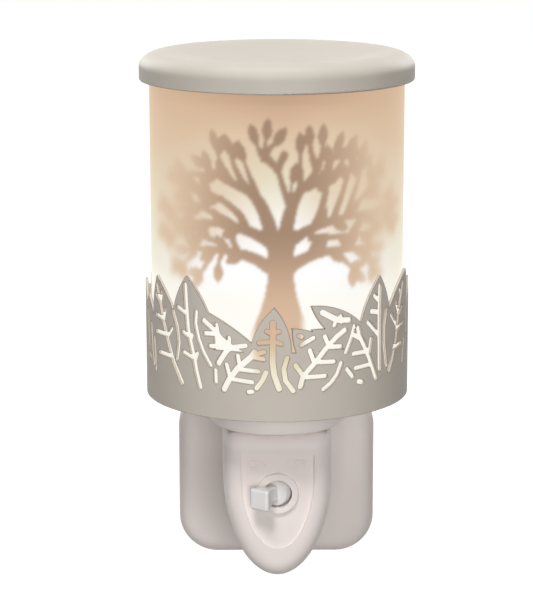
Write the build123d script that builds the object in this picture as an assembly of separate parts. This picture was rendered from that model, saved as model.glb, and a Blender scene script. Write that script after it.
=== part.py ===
from build123d import *
import math
import os

# A plug-in wax melt warmer: a dish on a frosted glass tube, held in a leaf-cut metal cup above a wall plug.
# X runs across, +Y runs into the wall and +Z is up. The origin is the middle of the plug's wall face.
# Sizes are millimetres and angles are degrees. Angles round the lamp start at the front, right is positive.

# Plug plate, cover and tongue-shaped housing
axis_to_wall = 44.0
plate_width = 61.8
plate_height = 53.8
plate_corner = 12.2
plate_depth = 12.0
plate_edge_round = 5.0
cover_thickness = 3.0
cover_inset = 0.5
cover_edge_chamfer = 0.6
housing_wall = 2.2
housing_top_wall = 2.4
housing_front_wall = 3.4
tongue_half_width = 15.9
tongue_root_half_width = 17.2
tongue_drop = 45.3
tongue_root_drop = 44.0
tongue_chin_height = 32.0
tongue_reach = 16.0
front_lean = 3.3
front_round = 5.5
brow_round = 4.5

# Flat recess for the switch, measured down from the top of the housing
flat_top_drop = 5.8
flat_bottom_drop = 35.5
flat_half_width = 10.8
flat_chin_height = 23.0
flat_lip = 0.4
flat_corner = 0.8

# Plug pins, to the three-pin wall socket's standard sizes
pin_pitch = 22.2
mains_pin_width = 6.35
mains_pin_thickness = 3.97
mains_pin_length = 17.7
mains_pin_bare = 8.5
pin_sleeve_wall = 0.6
earth_pin_width = 3.97
earth_pin_height = 7.95
earth_pin_length = 22.7
pin_tip_chamfer = 0.9
pin_flange = 1.4
pin_flange_thickness = 1.6
pin_tag = 3.0
pin_tag_length = 2.4
pin_clearance = 0.1

# Screws
cover_screw_edge = 8.2
cover_screw_head_radius = 2.9
cover_screw_head_height = 1.8
cover_screw_radius = 1.25
cover_screw_length = 8.0
cover_screw_sink = 0.2
cover_boss_radius = 3.0
holder_screw_offset = 9.5
holder_screw_radius = 1.4
holder_screw_head_radius = 2.6
holder_screw_head_height = 1.9
holder_screw_grip = 5.5
screw_clearance = 0.05
screw_hole_clearance = 0.25
screw_slot_width = 0.8
screw_cross_length = 3.5
screw_slot_depth = 0.9

# Collar and lampholder
collar_radius = 19.8
collar_height = 9.6
collar_wall = 2.2
collar_floor = 2.4
collar_edge_round = 0.8
wire_hole_radius = 5.5
holder_radius = 13.4
holder_base_height = 8.0
holder_height = 30.0
barrel_radius = 11.2
socket_bore_radius = 8.6
shade_ring_radius = 18.0
shade_ring_grip_radius = 16.2
shade_ring_flange = 1.6
shade_ring_height = 5.0
shade_ring_grips = 12
grip_radius = 1.0
thread_clearance = 0.15
thread_spare = 1.2

# Socket contacts and lamp
shell_wall = 0.8
shell_height = 18.0
shell_lip = 3.7
shell_clearance = 0.1
contact_strip_width = 3.0
contact_strip_length = 6.4
contact_strip_thickness = 0.6
contact_button_radius = 2.0
contact_button_height = 1.0
lamp_contact_radius = 2.4
lamp_contact_height = 1.0
insulator_height = 2.6
insulator_radius = 3.4
cap_radius = 6.9
cap_wall = 0.45
cap_height = 17.0
cap_ridges = 4
cap_ridge_depth = 0.5
cap_ridge_pitch = 2.8
cap_plain = 2.4
lamp_bulge_radius = 14.0
lamp_neck_sink = 4.0
lamp_shoulder_height = 18.0
lamp_glass_wall = 0.8
lamp_neck_clearance = 0.2
stem_radius = 2.2
stem_height = 13.0
stem_foot_height = 1.2
stem_clearance = 0.2
filament_wire_radius = 0.35
filament_half_span = 5.0
filament_rise = 8.0
filament_foot = 1.3
filament_bend = 1.2
filament_post = 2.0

# Cup floor, glass, leaf-cut sleeve and dish
floor_thickness = 0.8
floor_clearance = 0.05
floor_hole_clearance = 0.4
vent_radius = 2.6
vent_circle_radius = 27.5
vent_count = 10
glass_radius = 37.1
glass_wall = 2.6
glass_height = 91.8
glass_edge_round = 0.6
sleeve_gap = 0.9
sleeve_wall = 0.8
sleeve_band_height = 20.0
dish_radius = 40.0
dish_rim_height = 8.0
dish_shoulder_width = 6.5
dish_shoulder_height = 4.2
dish_foot_round = 0.5
dish_bowl_depth = 5.0
dish_rim_ease = 0.55
dish_floor_ease = 1.5
dish_floor_thickness = 6.2
dish_plug_gap = 1.0
dish_plug_round = 1.5

# Toggle switch
switch_drop = 18.4
bezel_radius = 6.2
bezel_proud = 1.2
bezel_bore_radius = 4.25
bezel_neck_radius = 5.2
bezel_edge_round = 0.4
bezel_clearance = 0.1
pivot_set_back = 2.5
pivot_radius = 0.7
pivot_clearance = 0.05
pivot_seat_clearance = 0.02
lever_lean = 34.0
lever_length = 10.2
lever_root_width = 1.8
lever_root_height = 4.4
lever_neck_length = 4.4
lever_neck_width = 2.8
lever_neck_height = 5.0
lever_end_width = 7.0
lever_end_height = 6.6
lever_root_corner = 0.7
lever_end_round = 0.8
ball_radius = 4.0
ball_face = 1.3
tail_length = 7.0
tail_width = 1.8
tail_height = 3.2
blade_width = 3.4
blade_thickness = 0.8
switch_cavity_half_width = 6.8
switch_cavity_half_height = 4.2
switch_wall = 1.6
contact_gap = 0.35
blade_swing_clearance = 0.5
terminal_pad_width = 2.8
terminal_pad_thickness = 0.8
terminal_height = 1.4
terminal_spread = 1.4
terminal_stem_width = 1.0
terminal_tail = 3.0
terminal_slot_clearance = 0.15

# Insulated leads
lead_radius = 0.9
lead_bend = 2.5
lead_hole_clearance = 0.4
switched_hole_offset = 2.2
neutral_hole_offset = 4.4
lead_lane_x = 5.0
lead_level_drop = 28.0
lead_turn_depth = 16.0
live_lead_straight = 7.5
switched_lead_straight = 5.4
switched_lead_rise = 9.0
switched_lead_drop = 6.0
neutral_lead_drop = 9.0

# Tree cut from thin sheet
tree_gap = 0.4
tree_thickness = 0.6
tree_leaf_length = 5.2
tree_leaf_half_width = 1.25
tree_leaf_angle = 42.0
bough_last_leaf = 0.88
bough_leaf_pitch = 0.16
bough_end_leaf = 0.96
bough_sections = 4
tree_foot_half_width = 6.0
tree_foot_depth = 6.0
trunk_shift = 0.7
trunk_waist = 4.1
trunk_crotch = 4.4
trunk_waist_height = 35.0
trunk_crotch_height = 52.0
root_half_spread = 9.0
root_height = 23.5

# Veins cut in the sleeve
midrib_width = 1.7
vein_width = 1.4
slit_width = 1.4
cut_half_spread = 60.0

# Levels and radii that follow from the sizes above
housing_top_z = plate_height / 2
tongue_tip_z = housing_top_z - tongue_drop
tongue_root_tip_z = housing_top_z - tongue_root_drop
flat_depth = axis_to_wall + tongue_reach
flat_top_z = housing_top_z - flat_top_drop
flat_bottom_z = housing_top_z - flat_bottom_drop
inner_front_depth = flat_depth - housing_front_wall
cup_z = housing_top_z + collar_height
floor_top_z = cup_z + floor_thickness
glass_inner_radius = glass_radius - glass_wall
dish_seat_z = floor_top_z + glass_height
sleeve_inner_radius = glass_radius + sleeve_gap
sleeve_radius = sleeve_inner_radius + sleeve_wall
holder_z = housing_top_z + collar_floor
socket_floor_z = holder_z + holder_base_height
lamp_z = socket_floor_z + contact_strip_thickness + contact_button_height
cap_z = lamp_z + lamp_contact_height + insulator_height
neck_z = cap_z + cap_height - lamp_neck_sink
shoulder_z = cap_z + cap_height
bulge_z = shoulder_z + lamp_shoulder_height
stem_top_z = neck_z + stem_height
switch_z = housing_top_z - switch_drop
bezel_front_depth = flat_depth + bezel_proud
pivot_depth = bezel_front_depth - pivot_set_back
blade_reach = tail_length + blade_thickness
terminal_reach = blade_reach + contact_gap
switch_cavity_depth = pivot_depth - terminal_reach - terminal_pad_thickness - blade_swing_clearance
switch_back_depth = switch_cavity_depth - switch_wall
terminal_pad_reach = terminal_reach + terminal_pad_thickness / 2
terminal_x = terminal_pad_reach * math.sin(math.radians(lever_lean))
terminal_pad_depth = pivot_depth - terminal_pad_reach * math.cos(math.radians(lever_lean))
terminal_end_depth = switch_back_depth - terminal_tail
tree_radius = glass_inner_radius - tree_gap
pin_line_z = -pin_pitch / 2
earth_line_z = pin_pitch / 2
pin_tag_depth = cover_thickness + pin_flange_thickness + pin_tag_length / 2
lead_level_z = housing_top_z - lead_level_drop
cover_screw_spots = [
    (side * (plate_width / 2 - cover_screw_edge), level * (plate_height / 2 - cover_screw_edge))
    for side in (-1, 1)
    for level in (-1, 1)
]


def facing_plane(depth):
    """Upright plane that faces the viewer, this far in front of the wall."""
    return Plane.XZ.offset(depth)


def on_lamp_axis(shape, z=0.0):
    """Move a shape made round the origin to the lamp's upright axis."""
    return Pos(0, -axis_to_wall, z) * shape


def turned(points):
    """Solid of revolution round Z from a closed run of (radius, height) points."""
    return revolve(Plane.XZ * make_face(Polyline(*points, close=True)), Axis.Z)


def bore(x, z, radius, near, far):
    """Round hole or bar along Y, between two depths in front of the wall."""
    return extrude(facing_plane(near) * Pos(x, z) * Circle(radius), far - near)


def bar(x, z, width, height, near, far):
    """Rectangular bar along Y, between two depths in front of the wall."""
    return extrude(facing_plane(near) * Pos(x, z) * Rectangle(width, height), far - near)


def plate_block(inset, depth, edge_round):
    """Rounded-square plate block with a rounded front edge."""
    outline = RectangleRounded(plate_width - 2 * inset, plate_height - 2 * inset, plate_corner - inset)
    block = extrude(facing_plane(cover_thickness) * outline, depth - cover_thickness)
    return fillet(block.faces().sort_by(Axis.Y)[0].edges(), edge_round)


def chin_outline(depth, half_width, top_z, tip_z, chin_height):
    """Flat-topped outline that ends below in a half ellipse."""
    bend_z = tip_z + chin_height
    sides = Polyline(
        (-half_width, bend_z), (-half_width, top_z), (half_width, top_z), (half_width, bend_z)
    )
    chin = EllipticalCenterArc((0, bend_z), half_width, chin_height, start_angle=180, arc_size=180)
    return facing_plane(depth) * make_face(sides + chin)


def tongue_block(inset, top_z, front_depth):
    """Tongue that narrows from the plate to its front, inset evenly for the hollow."""
    chin = tongue_chin_height - inset
    root = chin_outline(
        cover_thickness, tongue_root_half_width - inset, top_z, tongue_root_tip_z + inset, chin
    )
    front = chin_outline(front_depth, tongue_half_width - inset, top_z, tongue_tip_z + inset, chin)
    return loft([root, front], ruled=True)


def make_front_housing():
    """One hollow moulding: plate, leaning tongue, switch flat, screw bosses and wire holes."""
    lean = math.radians(front_lean)
    front_rise = flat_lip + (housing_top_z - flat_bottom_z) * math.tan(lean)
    tongue = tongue_block(0, housing_top_z, flat_depth + front_rise + flat_lip)
    front_face = Plane(
        origin=(0, -(flat_depth + flat_lip), flat_bottom_z),
        x_dir=(1, 0, 0),
        z_dir=(0, -math.cos(lean), -math.sin(lean)),
    )
    tongue = split(tongue, bisect_by=front_face, keep=Keep.BOTTOM)
    rim = [e for e in tongue.faces().sort_by(Axis.Y)[0].edges() if e.center().Z < housing_top_z - flat_lip]
    tongue = fillet(rim, front_round)
    brow = tongue.faces().sort_by(Axis.Z)[-1].edges().sort_by(Axis.Y)[0]
    tongue = fillet([brow], brow_round)
    shell = plate_block(0, plate_depth, plate_edge_round) + tongue

    flat = chin_outline(flat_depth, flat_half_width, flat_top_z, flat_bottom_z, flat_chin_height)
    flat = fillet(flat.vertices().group_by(Axis.Z)[-1], flat_corner)
    shell -= extrude(flat, front_rise + flat_lip)
    shell -= plate_block(housing_wall, plate_depth - housing_wall, plate_edge_round - housing_wall)
    shell -= tongue_block(housing_wall, housing_top_z - housing_top_wall, inner_front_depth)

    for x, z in cover_screw_spots:
        shell += bore(x, z, cover_boss_radius, cover_thickness, plate_depth - housing_wall / 2)
        pilot = cover_screw_radius + screw_clearance
        shell -= bore(x, z, pilot, cover_thickness, plate_depth - housing_wall)

    shell -= bore(0, switch_z, bezel_neck_radius + bezel_clearance, inner_front_depth, flat_depth)
    shell -= top_holes(housing_top_z - housing_top_wall, housing_top_wall)
    return shell


def top_holes(z, height):
    """Wire hole and the two lampholder screw holes, along the lamp axis."""
    cuts = extrude(Circle(wire_hole_radius), height)
    for x in (-holder_screw_offset, holder_screw_offset):
        cuts += extrude(Pos(x, 0) * Circle(holder_screw_radius + screw_hole_clearance), height)
    return on_lamp_axis(cuts, z)


def make_back_cover():
    """Flat cover at the wall, with pin slots and countersunk screw holes."""
    outline = RectangleRounded(
        plate_width - 2 * cover_inset, plate_height - 2 * cover_inset, plate_corner - cover_inset
    )
    cover = extrude(facing_plane(0) * outline, cover_thickness)
    cover = chamfer(cover.faces().sort_by(Axis.Y)[-1].edges(), cover_edge_chamfer)
    for x in (-pin_pitch / 2, pin_pitch / 2):
        width = mains_pin_width + 2 * pin_clearance
        cover -= bar(x, pin_line_z, width, mains_pin_thickness + 2 * pin_clearance, 0, cover_thickness)
    earth_width = earth_pin_width + 2 * pin_clearance
    cover -= bar(0, earth_line_z, earth_width, earth_pin_height + 2 * pin_clearance, 0, cover_thickness)
    for x, z in cover_screw_spots:
        cover -= bore(x, z, cover_screw_radius + screw_hole_clearance, 0, cover_thickness)
        sink_height = cover_screw_sink + cover_screw_head_height
        sink = Cone(
            cover_screw_head_radius + screw_hole_clearance,
            cover_screw_radius + screw_hole_clearance,
            sink_height,
            align=(Align.CENTER, Align.CENTER, Align.MIN),
        )
        cover -= facing_plane(0) * Pos(x, z, 0) * sink
    return cover


def make_mains_pin(x):
    """Brass pin: bare tip, thinner shank inside its sleeve, flange and solder tag behind the cover."""
    sleeve_end = mains_pin_length - mains_pin_bare
    shank_width = mains_pin_width - 2 * pin_sleeve_wall
    shank_thickness = mains_pin_thickness - 2 * pin_sleeve_wall
    tip = bar(x, pin_line_z, mains_pin_width, mains_pin_thickness, -mains_pin_length, -sleeve_end)
    tip = chamfer(tip.faces().sort_by(Axis.Y)[-1].edges(), pin_tip_chamfer)
    shank = bar(x, pin_line_z, shank_width, shank_thickness, -sleeve_end, cover_thickness)
    flange_width = mains_pin_width + 2 * pin_flange
    flange_height = mains_pin_thickness + 2 * pin_flange
    flange_end = cover_thickness + pin_flange_thickness
    flange = bar(x, pin_line_z, flange_width, flange_height, cover_thickness, flange_end)
    tag = bar(x, pin_line_z, pin_tag, pin_tag, flange_end, flange_end + pin_tag_length)
    return tip + shank + flange + tag


def make_pin_sleeves():
    """Insulating sleeves round the shanks of the two mains pins."""
    sleeve_end = mains_pin_length - mains_pin_bare
    sleeves = []
    for x in (-pin_pitch / 2, pin_pitch / 2):
        outer = bar(x, pin_line_z, mains_pin_width, mains_pin_thickness, -sleeve_end, cover_thickness)
        inner_width = mains_pin_width - 2 * pin_sleeve_wall
        inner_thickness = mains_pin_thickness - 2 * pin_sleeve_wall
        inner = bar(x, pin_line_z, inner_width, inner_thickness, -sleeve_end, cover_thickness)
        sleeves.append(outer - inner)
    return Compound(sleeves)


def make_earth_pin():
    """Plastic pin that opens the socket's shutters, with a flange behind the cover."""
    pin = bar(0, earth_line_z, earth_pin_width, earth_pin_height, -earth_pin_length, cover_thickness)
    pin = chamfer(pin.faces().sort_by(Axis.Y)[-1].edges(), pin_tip_chamfer)
    flange_width = earth_pin_width + 2 * pin_flange
    flange_height = earth_pin_height + 2 * pin_flange
    flange_end = cover_thickness + pin_flange_thickness
    return pin + bar(0, earth_line_z, flange_width, flange_height, cover_thickness, flange_end)


def make_cover_screws():
    """Four countersunk screws with a cross slot, from the cover into the housing's bosses."""
    base = (Align.CENTER, Align.CENTER, Align.MIN)
    head = Cone(cover_screw_head_radius, cover_screw_radius, cover_screw_head_height, align=base)
    screw = head + Cylinder(cover_screw_radius, cover_screw_length, align=base)
    for turn in (0, 90):
        slot = Box(screw_cross_length, screw_slot_width, screw_slot_depth, align=base)
        screw -= Rot(0, 0, turn) * slot
    return Compound([facing_plane(cover_screw_sink) * Pos(x, z, 0) * screw for x, z in cover_screw_spots])


def make_lamp_collar():
    """Open cup between the housing and the metal cup."""
    inner = collar_radius - collar_wall
    collar = turned([(0, 0), (collar_radius, 0), (collar_radius, collar_height), (inner, collar_height),
                     (inner, collar_floor), (0, collar_floor)])
    rim = collar.edges().filter_by(GeomType.CIRCLE).group_by(Axis.Z)[0].sort_by(SortBy.RADIUS)[-1]
    collar = on_lamp_axis(fillet(rim, collar_edge_round), housing_top_z)
    return collar - top_holes(housing_top_z, collar_floor)


def make_holder_screws():
    """Two pan-head screws from inside the housing, through the collar, into the lampholder."""
    reach = housing_top_wall + collar_floor + holder_screw_grip
    up = (Align.CENTER, Align.CENTER, Align.MIN)
    down = (Align.CENTER, Align.CENTER, Align.MAX)
    screw = Cylinder(holder_screw_radius, reach, align=up)
    screw += Cylinder(holder_screw_head_radius, holder_screw_head_height, align=down)
    slot = Box(2 * holder_screw_head_radius, screw_slot_width, screw_slot_depth, align=up)
    screw -= Pos(0, 0, -holder_screw_head_height) * slot
    spots = (-holder_screw_offset, holder_screw_offset)
    return Compound([on_lamp_axis(Pos(x, 0) * screw, housing_top_z - housing_top_wall) for x in spots])


def make_lamp_holder():
    """Lampholder body: solid base, threaded skirt for the clamp ring, barrel and socket bore."""
    skirt_top = floor_top_z - holder_z + shade_ring_height + thread_spare
    body = turned([(0, 0), (holder_radius, 0), (holder_radius, skirt_top), (barrel_radius, skirt_top),
                   (barrel_radius, holder_height), (socket_bore_radius, holder_height),
                   (socket_bore_radius, holder_base_height), (0, holder_base_height)])
    for x in (-holder_screw_offset, holder_screw_offset):
        body -= extrude(Pos(x, 0) * Circle(holder_screw_radius + screw_clearance), holder_screw_grip)
    for y in (-switched_hole_offset, neutral_hole_offset):
        body -= extrude(Pos(0, y) * Circle(lead_radius + lead_hole_clearance), holder_base_height)
    return on_lamp_axis(body, holder_z)


def make_shade_ring():
    """Clamp ring on the lampholder's thread, with finger grips round its upper part."""
    inner = holder_radius + thread_clearance
    ring = turned([(inner, 0), (shade_ring_radius, 0), (shade_ring_radius, shade_ring_flange),
                   (shade_ring_grip_radius, shade_ring_flange), (shade_ring_grip_radius, shade_ring_height),
                   (inner, shade_ring_height)])
    grip_height = shade_ring_height - shade_ring_flange
    grip = Pos(0, 0, shade_ring_flange) * extrude(Circle(grip_radius), grip_height)
    ring -= PolarLocations(shade_ring_grip_radius, shade_ring_grips) * grip
    return on_lamp_axis(ring, floor_top_z)


def make_socket_shell():
    """Brass shell that lines the socket."""
    outer = socket_bore_radius - shell_clearance
    inner = outer - shell_wall
    shell = turned([(inner - shell_lip, 0), (outer, 0), (outer, shell_height), (inner, shell_height),
                    (inner, shell_wall), (inner - shell_lip, shell_wall)])
    return on_lamp_axis(shell, socket_floor_z)


def make_centre_contact():
    """Brass strip on the socket's floor with a raised button under the lamp."""
    base = (Align.CENTER, Align.CENTER, Align.MIN)
    strip = Box(contact_strip_width, contact_strip_length, contact_strip_thickness, align=base)
    button = Cylinder(contact_button_radius, contact_button_height, align=base)
    return on_lamp_axis(strip + Pos(0, 0, contact_strip_thickness) * button, socket_floor_z)


def make_lamp_contact():
    """Solder button under the lamp."""
    button = extrude(Circle(lamp_contact_radius), lamp_contact_height)
    return on_lamp_axis(button, lamp_z)


def make_lamp_insulator():
    """Dark glass cone between the solder button and the cap."""
    cap_inner = cap_radius - cap_wall - cap_ridge_depth
    cone = turned([(0, 0), (insulator_radius, 0), (cap_inner, insulator_height), (0, insulator_height)])
    return on_lamp_axis(cone, lamp_z + lamp_contact_height)


def make_lamp_cap():
    """Thin threaded cap, its thread drawn as rounded ridges, with a floor on the insulator."""
    valley = cap_radius - cap_ridge_depth
    inner = valley - cap_wall
    first = cap_plain
    outline = Line((0, 0), (valley, 0)) + Line((valley, 0), (valley, first))
    for ridge in range(cap_ridges):
        low = first + ridge * cap_ridge_pitch
        high = low + cap_ridge_pitch
        outline += ThreePointArc((valley, low), (cap_radius, (low + high) / 2), (valley, high))
    thread_end = first + cap_ridges * cap_ridge_pitch
    outline += Polyline((valley, thread_end), (valley, cap_height), (inner, cap_height), (inner, cap_wall),
                        (0, cap_wall), (0, 0))
    return on_lamp_axis(revolve(Plane.XZ * make_face(outline), Axis.Z), cap_z)


def lamp_outline(offset):
    """Outer or inner curve of the lamp's glass, from its neck to the top."""
    neck = cap_radius - cap_ridge_depth - cap_wall - lamp_neck_clearance - offset
    bulge = lamp_bulge_radius - offset
    waist_z = (shoulder_z + bulge_z) / 2
    shoulder = Bezier((neck, shoulder_z), (neck, waist_z), (bulge, waist_z), (bulge, bulge_z))
    dome = CenterArc((0, bulge_z), bulge, start_angle=0, arc_size=90)
    return neck, Line((neck, neck_z), (neck, shoulder_z)) + shoulder + dome


def make_lamp_glass():
    """Blown glass envelope, open at the neck where the stem closes it."""
    outer_neck, outer = lamp_outline(0)
    inner_neck, inner = lamp_outline(lamp_glass_wall)
    top = bulge_z + lamp_bulge_radius
    ends = Line((inner_neck, neck_z), (outer_neck, neck_z)) + Line((0, top), (0, top - lamp_glass_wall))
    return on_lamp_axis(revolve(Plane.XZ * make_face(outer + inner + ends), Axis.Z))


def make_lamp_stem():
    """Glass stem with a wide foot in the neck."""
    neck, _ = lamp_outline(lamp_glass_wall)
    foot = neck - stem_clearance
    stem = turned([(0, 0), (foot, 0), (foot, stem_foot_height), (stem_radius, stem_foot_height),
                   (stem_radius, stem_height), (0, stem_height)])
    return on_lamp_axis(stem, neck_z)


def make_lamp_filament():
    """Bowed filament with its two support wires, standing on the stem."""
    top = stem_top_z + filament_rise
    route = FilletPolyline(
        (-filament_foot, 0, stem_top_z), (-filament_foot, 0, stem_top_z + filament_post),
        (-filament_half_span, 0, top), (filament_half_span, 0, top),
        (filament_foot, 0, stem_top_z + filament_post), (filament_foot, 0, stem_top_z),
        radius=filament_bend,
    )
    wire = sweep(Plane(origin=route @ 0, z_dir=route % 0) * Circle(filament_wire_radius), path=route)
    return on_lamp_axis(wire)


def make_cup_floor():
    """Steel floor of the cup, with a hole for the lampholder and a ring of vents."""
    disc = extrude(Circle(sleeve_inner_radius - floor_clearance), floor_thickness)
    disc -= extrude(Circle(holder_radius + floor_hole_clearance), floor_thickness)
    disc -= PolarLocations(vent_circle_radius, vent_count) * extrude(Circle(vent_radius), floor_thickness)
    return on_lamp_axis(disc, cup_z)


def make_glass_cylinder():
    """Frosted glass tube with rounded edges at the top."""
    tube = turned([(glass_inner_radius, 0), (glass_radius, 0), (glass_radius, glass_height),
                   (glass_inner_radius, glass_height)])
    tube = fillet(tube.edges().group_by(Axis.Z)[-1], glass_edge_round)
    return on_lamp_axis(tube, floor_top_z)


def make_wax_dish():
    """Round-shouldered dish that rests on the glass, with a plug that keeps it centred."""
    bowl_z = dish_rim_height - dish_bowl_depth
    under_z = bowl_z - dish_floor_thickness
    plug = glass_inner_radius - dish_plug_gap
    straight = dish_rim_height - dish_shoulder_height
    crest = dish_radius - dish_shoulder_width
    side = Polyline((0, bowl_z), (0, under_z), (plug, under_z), (plug, 0), (dish_radius, 0),
                    (dish_radius, straight))
    shoulder = EllipticalCenterArc(
        (crest, straight), dish_shoulder_width, dish_shoulder_height, start_angle=0, arc_size=90
    )
    bowl = Spline(
        (crest, dish_rim_height), (0, bowl_z),
        tangents=((-1, 0), (-1, 0)), tangent_scalars=(dish_rim_ease, dish_floor_ease),
    )
    dish = revolve(Plane.XZ * make_face(side + shoulder + bowl), Axis.Z)
    foot = dish.edges().filter_by(GeomType.CIRCLE).filter_by(lambda e: abs(e.center().Z) < dish_foot_round)
    dish = fillet(foot.sort_by(SortBy.RADIUS)[-1], dish_foot_round)
    plug_edge = dish.edges().filter_by(GeomType.CIRCLE).group_by(Axis.Z)[0]
    dish = fillet(plug_edge, dish_plug_round)
    return on_lamp_axis(dish, dish_seat_z)


# Leaf blades of the sleeve's top edge: (base angle, base height, tip angle, tip height, half width)
leaf_blades = [
    (-80, 6, -88, 34, 7.0),
    (-70, 5, -75, 31, 6.0),
    (-49, 4, -63.5, 38, 7.0),
    (-37, 4, -42, 40.2, 7.8),
    (-3, 17, -35, 31.5, 2.0),
    (-5, 4, -1.5, 33, 6.0),
    (21, 10, 6, 27, 3.0),
    (30, 18, 5.6, 27, 2.2),
    (36, 20, 14, 26.4, 2.2),
    (45, 19, 14, 33.2, 4.1),
    (44, 4, 48.8, 39.5, 6.8),
    (52, 6, 74, 38.5, 7.6),
    (79, 5, 83, 31, 6.0),
]

# Twigs cut through the leaves: (angle, height) points of the midrib from its foot up, then of each vein
leaf_twigs = [
    [
        [(-45, 8.8), (-50.3, 14.2), (-55, 21), (-57.6, 25.2), (-60, 30), (-63.2, 35.2)],
        [(-60, 30.4), (-58.8, 33.6)], [(-61, 31), (-64.4, 32.2)], [(-58, 25.8), (-64.4, 26.4)],
        [(-57.6, 25.4), (-56.2, 28.8)], [(-55.4, 21.6), (-64.4, 21.4)], [(-55, 20.8), (-51.4, 23.8)],
        [(-51.6, 15.6), (-61.4, 15.6)],
    ],
    [
        [(-34.8, 8.6), (-36.8, 13.2), (-37.8, 16.5), (-39.7, 21), (-41.2, 25), (-42, 31), (-42.6, 37.4)],
        [(-42.2, 29.2), (-47, 30.6)], [(-40.6, 22.6), (-44, 23.7)], [(-39.9, 21.6), (-39, 23.2)],
        [(-38.2, 16.6), (-43.8, 17.8)], [(-37.4, 16.2), (-36.2, 18.2)],
    ],
    [
        [(-25.8, 16.2), (-22.6, 19.6), (-20.8, 21), (-23.4, 22.4), (-26.2, 24.8), (-30, 26.8), (-32.6, 28)],
        [(-26, 25), (-26.6, 27.2)], [(-26.6, 24.6), (-32, 24.4)], [(-20.9, 21.2), (-20.9, 23.8)],
        [(-22, 21.2), (-29.6, 20.9)], [(-20.8, 21), (-13.8, 21.9)],
    ],
    [
        [(-23.2, 8.8), (-20.9, 11.8), (-17.4, 15), (-14.2, 17), (-11.2, 18.8), (-9.9, 20.2)],
        [(-20.6, 12.6), (-22, 16)], [(-16.2, 15.8), (-17, 18.8)], [(-16.8, 15), (-8.4, 14.6)],
        [(-20, 12), (-11, 11.4)], [(-10.6, 19.2), (-5.9, 20.3)], [(-11, 18.7), (-6.2, 18.2)],
    ],
    [
        [(0.4, 9.6), (-1.6, 13.6), (-2.3, 17.2), (-2.2, 21.6), (-2.1, 28.6)],
        [(-2.1, 25.5), (-4.6, 26.2)], [(-2.1, 25.6), (0.4, 26.2)], [(-2.2, 23.2), (-7.8, 22.9)],
        [(-2.1, 23.4), (1.2, 22.6)],
    ],
    [
        [(18.8, 31.2), (22.4, 29.8), (25.6, 28.6), (31.2, 28.2)],
        [(25.4, 28.7), (27.2, 29.5)], [(25.2, 28.6), (24.2, 27.2)], [(22.6, 29.6), (28, 28)],
    ],
    [
        [(9.4, 10.2), (10.5, 13), (13.4, 15.2), (16.5, 17.4), (20, 20.4), (25.5, 23.9), (29, 25.4)],
        [(10.6, 13.2), (7.4, 16.4)], [(15.4, 16.8), (13.4, 20.5)], [(21.6, 21.6), (20, 24.2)],
        [(10.8, 12.8), (20, 12.8)], [(16, 17), (24, 16.7)], [(21.2, 21.1), (27, 20.9)],
    ],
    [
        [(46.4, 9.9), (44.5, 12.8), (42.3, 16.2), (39.6, 19.8), (36.9, 23), (36, 25.4)],
        [(40.8, 18.2), (33.6, 18.2)], [(43.5, 14.2), (34.7, 13.9)], [(41.9, 17.2), (43.3, 21.6)],
        [(37.6, 22.2), (33, 24)],
    ],
    [
        [(48.8, 12.3), (48.4, 24), (48.4, 30), (48.7, 36.4)],
        [(48.4, 32), (45.2, 34)], [(48.4, 28.8), (43.4, 29.6)], [(48.4, 22), (41.4, 26.6)],
    ],
    [
        [(55.7, 10.9), (58.4, 14.2), (61, 18.2), (62.8, 22.5), (63.7, 26.4), (65.5, 29.8), (69.2, 34.8)],
        [(62.9, 22.8), (57.4, 27)], [(64, 27.2), (61.4, 30.2)], [(63.8, 26.2), (68.8, 27.9)],
        [(62.8, 22), (69.8, 22.8)], [(60.2, 16.8), (68, 17.2)], [(66.4, 31.4), (65.8, 33.2)],
    ],
]

# Bent and short slits between the twigs: (angle, height) points
leaf_slits = [
    [(-82.5, 27), (-82, 20), (-81.4, 12)],
    [(-76, 26.4), (-75.4, 22), (-74.6, 16)],
    [(-74.4, 13.4), (-72.4, 12.6)],
    [(-70.6, 23), (-70, 19), (-69.4, 15.4), (-67.8, 11.2)],
    [(-66.8, 19.2), (-66, 14.6), (-65.4, 10)],
    [(-50.2, 29), (-47.6, 25), (-46.6, 20.4), (-48, 15.4)],
    [(-36.6, 30.2), (-37, 27), (-35.4, 22.6), (-33, 19), (-29.5, 15.4)],
    [(-27.2, 14), (-27, 10.8)],
    [(-12.3, 8.5), (-11, 8.7)],
    [(-5, 14.4), (-6.6, 12), (-9, 9.7)],
    [(3.8, 18.6), (2.4, 15.4), (3.1, 12), (6.4, 8.9)],
    [(8.8, 24.9), (9.8, 24.5)],
    [(9.8, 22.2), (14.8, 24)],
    [(27.4, 16), (25.5, 12.9), (22.7, 10.6), (19.4, 9)],
    [(30.4, 14), (33.2, 11.6)],
    [(36.2, 9.9), (38.4, 9.4)],
    [(33.9, 26.2), (32.4, 23), (29.8, 19)],
    [(53.2, 29), (51.9, 25), (51.8, 19.4), (53.6, 12.6)],
    [(72, 18), (70.5, 14.6), (69.6, 11.4)],
    [(77, 28), (76, 24), (75.4, 19.5)],
    [(83, 25), (82.4, 20), (82, 14)],
]


def sleeve_frame(angle):
    """Plane through the lamp axis that faces outwards at this angle, with height upwards."""
    turn = math.radians(angle)
    return Plane(
        origin=(0, -axis_to_wall, cup_z),
        x_dir=(math.cos(turn), math.sin(turn), 0),
        z_dir=(math.sin(turn), -math.cos(turn), 0),
    )


def in_frame(angle, height, middle):
    """Flat point, in the frame at the middle angle, of a point on the sleeve."""
    return Vector(sleeve_radius * math.sin(math.radians(angle - middle)), height)


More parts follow.
